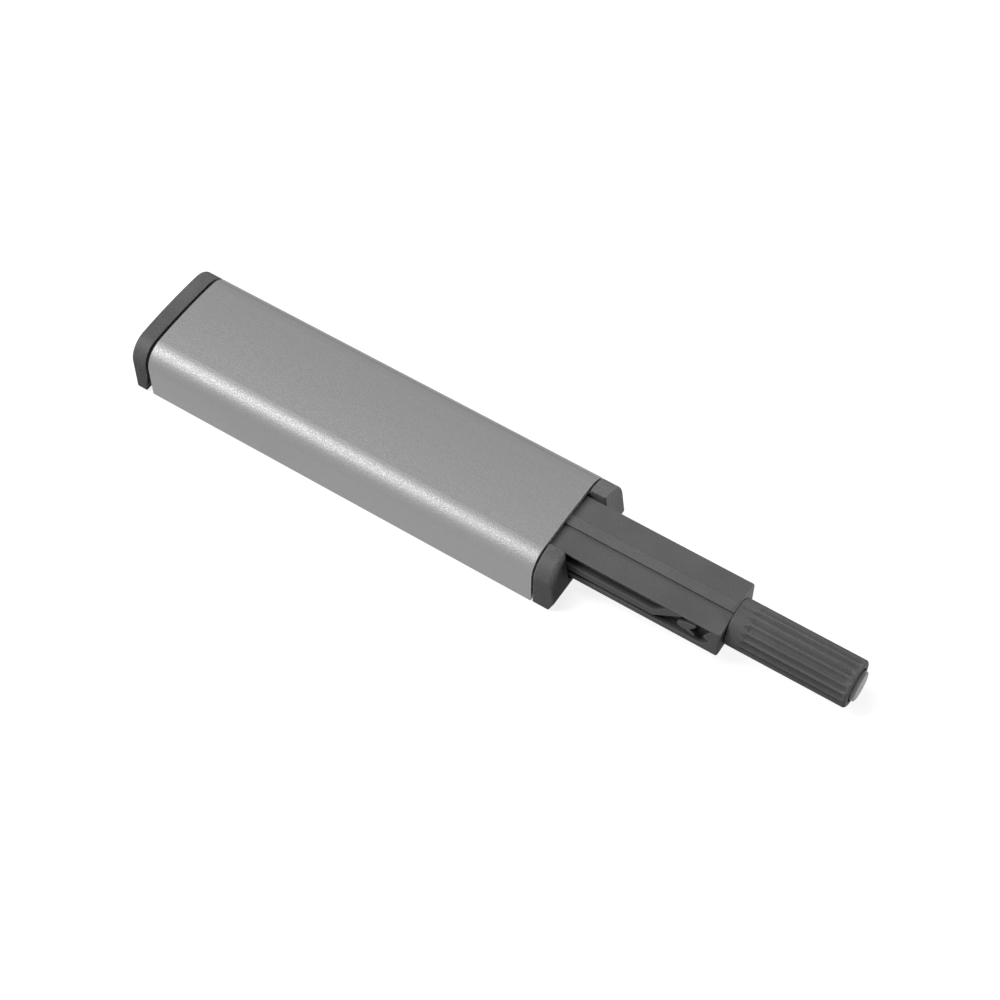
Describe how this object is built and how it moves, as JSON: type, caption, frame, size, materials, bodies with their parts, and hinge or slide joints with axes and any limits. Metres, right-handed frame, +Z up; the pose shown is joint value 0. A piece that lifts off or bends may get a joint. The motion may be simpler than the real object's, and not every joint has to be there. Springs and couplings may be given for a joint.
{
  "type": "push to open catch",
  "caption": "Sprung push to open catch: crowned metal sleeve, end cap and front guide, plunger with a heart cam track in its side, and a ribbed screw-in nose that carries a round magnet.",
  "frame": {"origin": "middle of the sleeve's underside", "axes": "X along the plunger's travel and out of the sleeve's mouth, Y across the sleeve, Z up from the underside"},
  "size_m": [0.1304, 0.0218, 0.011],
  "materials": {
    "satin_metal": "satin",
    "grey_plastic": "matte",
    "magnet_plate": "polished",
    "spring_steel": "brushed"
  },
  "bodies": {
    "housing": {"sleeve": "satin_metal", "rear_cap": "grey_plastic", "front_guide": "grey_plastic", "follower_spring": "spring_steel", "spring_rod": "spring_steel", "main_spring": "spring_steel"},
    "plunger_body": {"plunger": "grey_plastic"},
    "follower_body": {"latch_follower": "spring_steel"},
    "magnet_body": {"magnet": "magnet_plate"},
    "nose_body": {"nose": "grey_plastic"}
  },
  "joints": [
    {"name": "plunger_slide", "type": "slide", "parent": "housing", "child": "plunger_body", "axis": [1, 0, 0], "range_m": [-0.0255, 0], "stiffness_N_per_m": 150, "springref_m": 0.02, "deforming": ["main_spring"]},
    {"name": "follower_swing", "type": "hinge", "parent": "housing", "child": "follower_body", "pos_m": [0.01016, -0.00735, 0.00694], "axis": [0, -1, 0], "range_deg": [0, 7.35]},
    {"name": "nose_travel", "type": "slide", "parent": "plunger_body", "child": "magnet_body", "axis": [1, 0, 0], "range_m": [0, 0.003]},
    {"name": "nose_turn", "type": "hinge", "parent": "magnet_body", "child": "nose_body", "pos_m": [0.0679, 0, 0.00653], "axis": [1, 0, 0], "range_deg": [0, 720]}
  ],
  "couplings": [
    {"joint": "nose_turn", "follows": "nose_travel", "rad_per_m": 4188.7}
  ]
}
